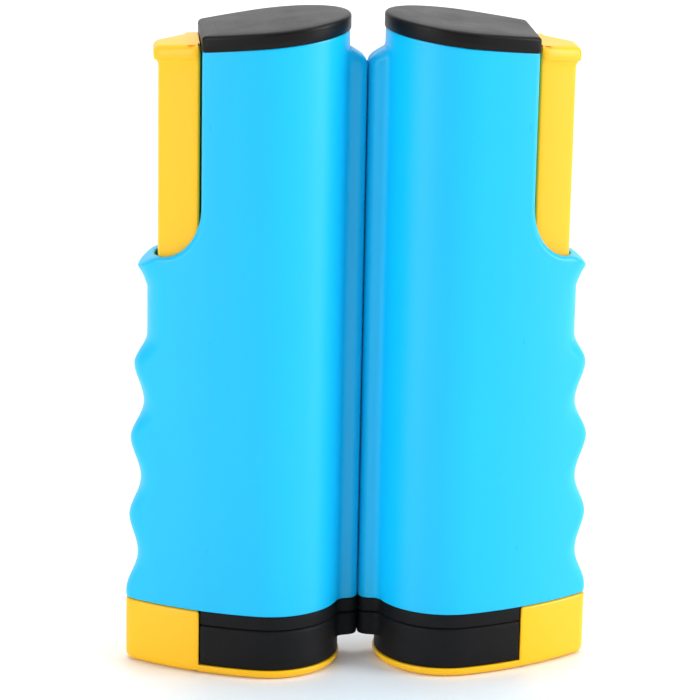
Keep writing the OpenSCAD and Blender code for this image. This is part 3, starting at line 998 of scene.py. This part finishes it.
def make_pad(side):
    sname = "right" if side > 0 else "left"
    rows = round_rows(15.8, 20.28, 0.45, 0.35, 3)
    b = solid_rows(lambda d, j: half_tube(d + 0.5, 49.5, 0.9, 1.0, 5.9, -0.42), rows, M=8)
    ob = finish_mesh(f"{sname}_jaw_pad", b, side, "jaw_rubber", 40)
    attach(ob, f"{sname}_post")
    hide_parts(f"{sname}_upper_jaw_pad")
    return ob


def make_block(side):
    sname = "right" if side > 0 else "left"
    rows = [(2.82, 0.5), (2.95, 0.2), (3.3, 0.0), (5.5, 0.0), (8.0, 0.0)]
    hs = [0, 0, 0, 0, 0]
    rows += [(8.2, 0.0), (8.2, 0.0), (8.32, 0.0), (8.7, 0.0)]
    hs += [0.06, 0.86, 0.97, 1.0]
    rows += [(11, 0.0), (13.5, 0.0)]
    hs += [1, 1]
    r = 1.2
    for a in np.linspace(0, math.pi / 2, 6):
        rows.append((15.7 - r + r * math.sin(a), r * (1 - math.cos(a))))
        hs.append(1)
    b = solid_rows(lambda d, j: half_tube(d + 0.5, 49.6, 0.9, hs[j], 5.9, -0.42), rows, M=8)
    ob = finish_mesh(f"{sname}_jaw_block", b, side, "jaw_rubber", 0)
    # hollow underside, with a rib across the middle
    tools = []
    for u0, u1 in ((8.5, TUBE_U - 1), (TUBE_U + 1, 46.7)):
        n = 14
        us = np.linspace(u0, u1, n + 1)
        top = [(u, surf_v(u) - 3.2) for u in us]
        poly = [(u, -v) for u, v in top] + [(u, v) for u, v in reversed(top)]
        tools.append(finish_mesh("cut", extrude(poly, 0.0, 13.1), side, None, 0))
    boolean(ob, tools)
    shade(ob, 38)
    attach(ob, f"{sname}_slider")
    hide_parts(f"{sname}_lower_jaw_block")
    return ob


def make_foot(side):
    sname = "right" if side > 0 else "left"
    # outer block
    rows = []
    for i in range(7):
        a = math.pi / 2 * i / 6
        rows.append((1.0 - math.cos(a), 1 - math.sin(a)))
    rows += [(3.0, 0), (8, 0), (14, 0), (19.2, 0), (19.55, 0.06), (19.85, 0.25), (20.0, 0.5)]
    rb = 2.4

    def half(d, j):
        k = d * rb if j < 7 else d
        return half_nose(k, 49.4, 0.5)

    rows2 = [(z * rb if i < 7 else z, d) for i, (z, d) in enumerate(rows)]
    blk = solid_rows(half, rows2, M=8)
    ob = finish_mesh(f"{sname}_foot_body", blk, side, "yellow_plastic", 0)
    # bottom plate under the jaw block
    def half_p(d, j):
        return half_tube(d, 50.6, 0.4, 0.0)

    prow = round_rows(0.0, 2.8, 2.4, 0.38, 6)
    pl = finish_mesh("plate", solid_rows(half_p, prow, M=8), side, "yellow_plastic", 0)
    boolean(ob, [pl], "UNION")
    # socket for the shaft and the screw recesses
    sock = [(u, -v) for u, v in plunger_half(-0.05)] + [(u, v) for u, v in reversed(plunger_half(-0.05))]
    tools = [finish_mesh("cut", extrude(sock, 3.0, 30), side, None, 0)]
    for u in (53.0, 59.0):
        tools.append(finish_mesh("cut", lathe([(0, 1.9), (2.7, 1.9), (2.7, 0.15), (2.95, -0.1), (3.1, -1), (0, -1)], 36, (u, 0), "z", False), side, None, 0))
    boolean(ob, tools)
    shade(ob, 38)
    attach(ob, f"{sname}_slider")
    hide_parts(f"{sname}_foot")
    return ob


# ------------------------------------------------------------------ plunger
def plunger_half(d=0.0, rho=2.0, n_f=8, n_c=7):
    """Half outline of the shaft, from the wall side corner to the outer face, inset by d."""
    u0, u1 = 49.8 + d, 61.7 - d
    D = 3.0 + d
    r = max(rho - d, 0.2)
    r2 = 0.7
    vc = math.sqrt((FLANK_R - D - r) ** 2 - (u1 - r - FU) ** 2) - FV
    b1 = math.atan2(vc + FV, u1 - r - FU)
    vc2 = math.sqrt((FLANK_R - D - r2) ** 2 - (u0 + r2 - FU) ** 2) - FV
    b2 = math.atan2(vc2 + FV, u0 + r2 - FU)
    c2 = arc_pts(u0 + r2, vc2, r2, math.pi, b2, 4, 0)
    fl = arc_pts(FU, -FV, FLANK_R - D, b2, b1, n_f)
    c1 = arc_pts(u1 - r, vc, r, b1, 0, n_c)
    return np.concatenate([c2, fl, c1])


def make_plunger(side):
    sname = "right" if side > 0 else "left"
    h = plunger_half()
    n = len(h)
    M = 6
    # outward normals of the half outline
    t = np.gradient(h, axis=0)
    nn = np.stack([-t[:, 1], t[:, 0]], 1)
    nn /= np.linalg.norm(nn, axis=1)[:, None]
    if nn[n // 2, 1] < 0:
        nn = -nn
    nn[0], nn[-1] = (-1, 0), (1, 0)

    def half(row):
        z, out, ins = row
        off = np.stack([np.where(nn[:, 0] > 0, nn[:, 0] * 1.5, nn[:, 0] * 0.0), nn[:, 1] * 0.6], 1) * out
        off -= nn * ins
        return h + off

    rows = [(3.05, 0, 0.4), (3.3, 0, 0.0), (20.0, 0, 0), (60, 0, 0), (100, 0, 0), (126, 0, 0), (150, 0, 0), (170, 0, 0), (183.5, 0, 0)]
    for a in np.linspace(0, math.pi / 2, 9)[1:]:
        rows.append((186.7 + 3.0 * math.sin(a), 1 - math.cos(a), 0))
    rows[-1] = (189.75, 0.96, 0)
    rows += [(190.1, 1.0, 0.0), (191.0, 1.0, 0)]
    r = 1.9
    rows += [(193.75 - r + r * math.sin(a), 1.0, r * (1 - math.cos(a))) for a in np.linspace(0, math.pi / 2, 7)[1:]]
    rows += [(193.80, 1.0, 2.7), (193.86, 1.0, 3.7)]
    b = Build()
    rings = []
    lo_hi = []

    def zf(u, z):
        w = min(max((z - 183.5) / 5, 0), 1)
        return z - SLOPE * (u - 49.3) * w

    for j, row in enumerate(rows):
        p = half(row)
        tt = np.linspace(0, 1, M + 1)[1:-1]
        e1 = np.stack([np.full(M - 1, p[-1, 0]), -p[-1, 1] + 2 * p[-1, 1] * tt], 1)
        e0 = np.stack([np.full(M - 1, p[0, 0]), p[0, 1] - 2 * p[0, 1] * tt], 1)
        ring = np.concatenate([np.stack([p[:, 0], -p[:, 1]], 1), e1, p[::-1], e0])
        rings.append(np.column_stack([ring, [zf(u, row[0]) for u in ring[:, 0]]]))
        lo_hi.append(p)
    b.grid(np.array(rings), wrap=True)
    for j in (0, len(rows) - 1):
        p = lo_hi[j]
        tt = np.linspace(0, 1, M + 1)
        g = np.zeros((M + 1, n, 3))
        g[:, :, 0] = p[:, 0]
        g[:, :, 1] = -p[:, 1][None] + 2 * p[:, 1][None] * tt[:, None]
        g[:, :, 2] = np.array([zf(u, rows[j][0]) for u in p[:, 0]])[None]
        if j:
            g[:, :, 2] += 0.1 * (1 - (2 * tt[:, None] - 1) ** 2)
        b.grid(g)
    ob = finish_mesh(f"{sname}_thumb_plunger", b, side, "yellow_plastic", 0)
    # channel for the clamp spring, open towards the end wall
    ch = [(49.0, flank_v(49.8, 5.0))] + [(u, flank_v(u, 5.0)) for u in np.linspace(49.8, 58.4, 6)] + [(59.3, flank_v(58.4, 5) - 0.6), (59.7, flank_v(58.4, 5) - 1.5)]
    poly = [(u, -v) for u, v in ch] + [(u, v) for u, v in reversed(ch)]
    tools = [finish_mesh("cut", extrude(poly, 21.0, 184.5), side, None, 0)]
    for u in (53.0, 59.0):
        tools.append(finish_mesh("cut", lathe([(0, 13.5), (1.27, 13.5), (1.27, 0), (0, 0)], 24, (u, 0), "z", False), side, None, 0))
    boolean(ob, tools)
    shade(ob, 38)
    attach(ob, f"{sname}_slider")
    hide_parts(f"{sname}_plunger")
    return ob


# ------------------------------------------------------------------ springs, screws, reel
def spring(centre, r, w, z0, z1, turns, per=28, sides=10):
    """Round wire helix with closed end turns."""
    n = int(turns * per)
    h = z1 - z0
    c = 2 * w * 1.03

    def lead(k):
        if k < 1:
            return w + k * c
        if k > turns - 1:
            return h - w - (turns - k) * c
        return w + c + (k - 1) / (turns - 2) * (h - 2 * w - 2 * c)

    ks = np.linspace(0, turns, n + 1)
    cen = np.array([(centre[0] + r * math.cos(2 * math.pi * k), centre[1] + r * math.sin(2 * math.pi * k), z0 + lead(k)) for k in ks])
    tan = np.gradient(cen, axis=0)
    tan /= np.linalg.norm(tan, axis=1)[:, None]
    rad = np.column_stack([np.cos(2 * np.pi * ks), np.sin(2 * np.pi * ks), np.zeros(n + 1)])
    bi = np.cross(tan, rad)
    b = Build()
    a = 2 * np.pi * np.arange(sides) / sides
    taper = np.ones(n + 1)
    taper[0] = taper[-1] = 0.8
    g = cen[:, None] + w * taper[:, None, None] * (np.cos(a)[None, :, None] * rad[:, None] + np.sin(a)[None, :, None] * bi[:, None])
    idx = b.grid(g, wrap=True)
    b.face(idx[0])
    b.face(idx[-1][::-1])
    return b


def screw(axis_uz, seat, tip, head_r=2.4, head_t=1.7, shank_r=1.2, axis="y", sgn=1):
    """Pan head screw with a coarse thread-forming shank; its cross recess is cut afterwards by cross_cut.
    Drawn along the axis from the tip to the seat, with the head beyond it."""
    n = 40
    prof = []
    L = abs(seat - tip)
    pitch = 1.0
    steps = int(L / pitch * 10)
    b = Build()
    a = 2 * math.pi * np.arange(n) / n
    rows = []
    for i in range(steps + 1):
        s = i / steps * L
        core = shank_r - 0.22
        taper = min(1, 0.25 + s / 2.2)
        ph = (s / pitch - a / (2 * math.pi)) % 1.0
        th = np.clip(1 - np.abs(ph - 0.5) / 0.22, 0, 1)
        fade = min(1, max(0, (L - 0.6 - s) / 0.6))
        rr = (core + 0.22 * th * fade) * taper
        rows.append((rr, s))
    r_h = head_r
    dome = []
    for t in np.linspace(0, math.pi / 2, 6):
        dome.append((r_h - 0.55 * (1 - math.cos(t)), L + head_t - 0.75 + 0.55 * math.sin(t)))
    dome += [(r_h * 0.6, L + head_t - 0.08), (r_h * 0.3, L + head_t), (0.01, L + head_t)]
    prof = [(np.full(n, shank_r), L)] + [(np.full(n, r_h - 0.1), L), (np.full(n, r_h), L + 0.1)] + [(np.full(n, q), s) for q, s in dome]
    grid = []
    for rr, s in rows + prof:
        pos = tip + sgn * s
        x, y = rr * np.cos(a), rr * np.sin(a)
        if axis == "y":
            grid.append(np.column_stack([axis_uz[0] + x, np.full(n, pos), axis_uz[1] + y]))
        else:
            grid.append(np.column_stack([axis_uz[0] + x, axis_uz[1] + y, np.full(n, pos)]))
    idx = b.grid(np.array(grid), wrap=True)
    b.face(idx[0])
    return b


def cross_cut(axis_uz, top, sgn, axis, depth=1.1, side=1):
    """Two crossed tapered wedges that cut a screw's recess."""
    out = []
    for rot in (0, 1):
        w0, w1, l0, l1 = 0.36, 0.22, 1.35, 0.5
        b = Build()
        pts = []
        for h, w, l in ((0.2, w0, l0), (-depth, w1, l1)):
            for x, y in ((-l, -w), (l, -w), (l, w), (-l, w)):
                if rot:
                    x, y = y, x
                c, s = math.cos(0.6), math.sin(0.6)
                x, y = x * c - y * s, x * s + y * c
                pos = top + sgn * h
                pts.append((axis_uz[0] + x, pos, axis_uz[1] + y) if axis == "y" else (axis_uz[0] + x, axis_uz[1] + y, pos))
        i = b.pts(pts)
        b.quads(np.array([i[:4], i[4:]]), wrap=True)
        b.face(i[:4])
        b.face(i[4:][::-1])
        out.append(finish_mesh("cut", b, side, None, 0))
    return out


def make_screws(side):
    sname = "right" if side > 0 else "left"
    made = []
    specs = [((u, z), seat, -10.4, "y", 1, 1.7) for u, z, seat in SCREWS]
    specs_foot = [((u, 0.0), 1.9, 12.9, "z", -1, 1.4) for u in (53.0, 59.0)]
    for group, node, body in ((specs, "housing_screws", "post"), (specs_foot, "foot_screws", "slider")):
        for i, (c, seat, tip, ax, sg, ht) in enumerate(group):
            b = screw(c, seat, tip, head_t=ht, axis=ax, sgn=sg)
            o = finish_mesh(f"{sname}_{node}_{i + 1}", b, side, "screw_steel", 0)
            boolean(o, cross_cut(c, seat + sg * ht, sg, ax, side=side))
            shade(o, 35)
            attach(o, f"{sname}_{body}")
            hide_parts(f"{sname}_{node}")


def make_reel(side):
    sname = "right" if side > 0 else "left"
    c = (TUBE_U, 0.0)

    def put(name, b, mat, body, node, smooth=35):
        o = finish_mesh(f"{sname}_{name}", b, side, mat, smooth)
        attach(o, f"{sname}_{body}")
        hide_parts(f"{sname}_{node}")
        return o

    # axle: chamfered ends and a turned groove for the clip
    put("axle", lathe([(0.001, 21.3), (2.1, 21.3), (2.5, 21.7), (2.5, 183.4), (2.5, 188.9), (2.2, 189.0), (2.2, 189.3), (2.5, 189.4), (2.1, 189.8), (0.001, 189.8)], 40, c, "z", False),
        "axle_steel", "post", "axle_rod")
    put("reel_core", lathe([(6.8, 28.5), (7.8, 28.5), (8, 28.7), (8, 182.3), (7.8, 182.5), (6.8, 182.5)], 64, c, "z"),
        "white_plastic", "reel", "reel_tube")
    for nm, z0, s in (("reel_lower_plug", 27.0, 1), ("reel_upper_plug", 184.0, -1)):
        prof = [(2.55, 0), (15.3, 0), (15.7, 0.35), (15.7, 1.15), (15.3, 1.5), (6.78, 1.5), (6.78, 11.4), (6.2, 12), (2.55, 12)]
        b = lathe([(r, z0 + s * h) for r, h in prof], 64, c, "z")
        put(nm.replace("reel_", "") if False else nm + "_part", b, "black_plastic", "reel", nm)
    put("reel_coil", spring(c, 4.4, 0.5, 44.5, 166.5, 16), "spring_steel", "post", "reel_spring", 60)
    # wound net: one spiral sheet from the tube to the roll's outside
    turns, per = 11.8, 56
    n = int(turns * per)
    ang = 2 * np.pi * np.arange(n + 1) / per
    th = 0.46
    r0 = 8.05 + th / 2
    rr = r0 + (ROLL_R - th / 2 - r0 - 0.02) * ang / ang[-1]
    zr = [29.5, 29.6, 60, 100, 140, 169.3, 169.6, 181.4, 181.5]
    b = Build()
    phase = math.radians(141.0) - ang[-1]
    lay = []
    for s in (-1, 1):
        g = np.zeros((n + 1, len(zr), 3))
        for j, z in enumerate(zr):
            t = th if z > 169.5 else th * 0.86
            if j in (0, len(zr) - 1):
                t *= 0.6
            q = rr + s * t / 2
            g[:, j] = np.column_stack([c[0] + q * np.cos(ang + phase), q * np.sin(ang + phase), np.full(n + 1, z)])
        lay.append(b.grid(g))
    for j in (0, -1):
        b.quads(np.array([lay[0][:, j], lay[1][:, j]]))
        b.quads(np.array([lay[0][j, :], lay[1][j, :]]))
    o = finish_mesh(f"{sname}_net_wound", b, side, None, 50)
    o.data.materials.append(MATS["net_wound"])
    o.data.materials.append(MATS["net_tape"])
    for p in o.data.polygons:
        if p.center.z > 0.1695:
            p.material_index = 1
    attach(o, f"{sname}_reel")
    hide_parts(f"{sname}_net_roll")


def make_clamp_spring(side):
    sname = "right" if side > 0 else "left"
    o = finish_mesh(f"{sname}_clamp_coil", spring((54.6, 0), 3.4, 0.5, 70.0, 184.5, 16), side, "spring_steel", 60)
    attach(o, f"{sname}_post")
    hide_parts(f"{sname}_clamp_spring")
    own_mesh(o)


# ------------------------------------------------------------------ net between the posts
SLOT_U, RUN_R = 7.6, ROLL_R + 0.5
RUN_A = math.asin(RUN_R / (TUBE_U - SLOT_U))
RUN_L = math.sqrt((TUBE_U - SLOT_U) ** 2 - RUN_R**2)
PULL = 1700.0


def inv_smooth(w):
    """t with t*t*(3-2t) = w."""
    return 0.5 - math.sin(math.asin(1 - 2 * w) / 3)


def x_at(w):
    """Rest position of the point that ends up at share w of the pulled net."""
    L = 2 * SLOT_U
    # after the pull it lies at x + w_s * PULL; it should be spread evenly over L + PULL
    lo, hi = 0.0, 1.0
    goal = w * (L + PULL)
    for _ in range(50):
        t = (lo + hi) / 2
        if t * L + t * t * (3 - 2 * t) * PULL < goal:
            lo = t
        else:
            hi = t
    return -SLOT_U + L * t


def run_line(x_dense=False):
    """Centre line of the net in plan from the left roll to the right one."""
    pts = []
    for s in np.linspace(1, 0, 7):
        if s > 0:
            pts.append((-(SLOT_U + s * RUN_L * math.cos(RUN_A)), s * RUN_L * math.sin(RUN_A)))
    pts.append((-SLOT_U, 0))
    right = [(-x, y) for x, y in reversed(pts)]
    return pts, right


def ribbon(line, z0, z1, th, zmid=()):
    """A thin closed sheet along a plan line."""
    p = np.array(line, float)
    t = np.gradient(p, axis=0)
    t /= np.linalg.norm(t, axis=1)[:, None]
    nn = np.stack([-t[:, 1], t[:, 0]], 1)
    zs = [z0, z0 + 0.15, *zmid, z1 - 0.15, z1]
    b = Build()
    lay = []
    for s in (-1, 1):
        g = np.zeros((len(zs), len(p), 3))
        for j, z in enumerate(zs):
            k = th / 2 * (0.5 if j in (0, len(zs) - 1) else 1)
            q = p + nn * k * s
            g[j] = np.column_stack([q, np.full(len(p), z)])
        lay.append(b.grid(g))
    b.quads(np.array([lay[0][0], lay[1][0]]))
    b.quads(np.array([lay[0][-1], lay[1][-1]]))
    b.quads(np.array([lay[0][:, 0], lay[1][:, 0]]))
    b.quads(np.array([lay[0][:, -1], lay[1][:, -1]]))
    return b


def make_net():
    left, right = run_line()
    z0, z1, zt = 29.5, 169.5, 181.5
    cell = 12.2
    n_z = 12
    n_x = int(round((PULL + 2 * SLOT_U) / cell))
    parts = []
    # cords along the net: one tube each, from roll to roll
    mid = [(x_at(i / 24), 0.0) for i in range(1, 24)]
    line = left + mid + right
    p = np.array(line, float)
    t = np.gradient(p, axis=0)
    t /= np.linalg.norm(t, axis=1)[:, None]
    nn = np.stack([-t[:, 1], t[:, 0]], 1)
    for j in range(n_z + 1):
        z = z0 + 0.4 + (z1 - z0 - 0.4) * j / n_z
        b = Build()
        rr = 0.29
        g = np.zeros((len(p), 6, 3))
        for k in range(6):
            a = math.pi / 3 * k
            q = p + nn * rr * math.cos(a)
            g[:, k] = np.column_stack([q, np.full(len(p), z + 0.36 * math.sin(a))])
        idx = b.grid(g, wrap=True)
        b.face(idx[0])
        b.face(idx[-1][::-1])
        parts.append(b)
    # cords across the net
    L = PULL + 2 * SLOT_U
    for i in range(n_x + 1):
        w = i / n_x
        dw = 0.36 / L
        xa, xb, xm = x_at(min(max(w - dw, 0), 1)), x_at(min(max(w + dw, 0), 1)), x_at(w)
        if xb - xa < 1e-5:
            continue
        y = 0.15
        ring = [(xa, 0), (xm, -y), (xb, 0), (xm, y)]
        parts.append(extrude(ring, z0, z1 + 0.3))
    # cords across the net inside the posts, up to the rolls
    for s in (-1, 1):
        for q in (0.35, 0.75):
            u = SLOT_U + q * RUN_L * math.cos(RUN_A)
            y = q * RUN_L * math.sin(RUN_A)
            ring = [(s * u + 0.3 * math.cos(a), y + 0.3 * math.sin(a)) for a in np.linspace(0, 2 * math.pi, 7)[:-1]]
            parts.append(extrude(ring, z0, z1 + 0.3))
    net = finish_mesh("net_mesh", merge_builds(*parts), 1, "net_cord", 60, merge=1e-6)
    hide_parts("net_span")
    tape_parts = [ribbon(line, z1, zt, 0.9, zmid=(z1 + 1.2, z1 + 1.5, 174, 178, zt - 1.5, zt - 1.2))]
    tape = finish_mesh("net_tape_folded", merge_builds(*tape_parts), 1, "net_tape", 60, merge=1e-6)
    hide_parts("net_top_tape")
    for o in (net, tape):
        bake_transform(o)


for side in (1, -1):
    make_housing(side, -1)
    make_housing(side, 1)
    make_cap(side)
    make_pad(side)
    make_block(side)
    make_foot(side)
    make_plunger(side)
    make_screws(side)
    make_reel(side)
    make_clamp_spring(side)
make_net()


# ------------------------------------------------------------------ stage and light
def stage():
    # wide pale floor, large enough for the posts pulled apart and for any side
    b = Build()
    xs = np.linspace(-24000, 24000, 17)
    g = np.zeros((len(xs), len(xs), 3))
    for i, y in enumerate(xs):
        g[i] = np.column_stack([xs, np.full(len(xs), y), np.full(len(xs), -0.02)])
    b.grid(g)
    ob = finish_mesh("floor", b, 1, None, 60)
    m = Mat("pale_floor")
    c = m.ramp(m.noise(3, 3, 0.5), srgb(243, 241, 239), srgb(250, 249, 248), 0.3, 0.7)
    m.set(Base_Color=c, Roughness=0.55, Specular_IOR_Level=0.3)
    ob.data.materials.append(m.m)

    def area(name, loc, target, size, power, col=(1, 1, 1)):
        d = bpy.data.lights.new(name, "AREA")
        d.shape, d.size, d.size_y = "RECTANGLE", size[0], size[1]
        d.energy, d.color = power, col
        o = bpy.data.objects.new(name, d)
        scene.collection.objects.link(o)
        o.visible_camera = False
        o.location = loc
        o.rotation_mode = "QUATERNION"
        o.rotation_quaternion = (Vector(target) - Vector(loc)).to_track_quat("-Z", "Y")
        return o

    # softboxes set far out, so that they light a net pulled out to 1.7 m evenly
    area("key_right", (3.96, -1.20, 1.60), (0, 0, 0.1), (1.8, 3.3), 188, (1, 0.995, 0.985))
    area("fill_left", (-3.42, -2.34, 1.45), (0, 0, 0.1), (1.8, 3.3), 122, (0.99, 0.995, 1))
    area("top", (0.3, 0.6, 4.3), (0, 0, 0.1), (3.6, 3.0), 85)
    area("backdrop", (0, 1.65, 4.3), (0, 4.8, 0), (7.8, 2.1), 130)
    area("behind", (0, 5.4, 2.4), (0, 0, 0.9), (9.0, 4.2), 136)
    w = bpy.data.worlds.new("studio")
    scene.world = w
    w.use_nodes = True
    bg = w.node_tree.nodes["Background"]
    bg.inputs[0].default_value = (1, 1, 1, 1)
    bg.inputs[1].default_value = 0.24
    scene.view_settings.view_transform = "Standard"
    scene.view_settings.look = "None"
    scene.view_settings.exposure = 0.0


stage()
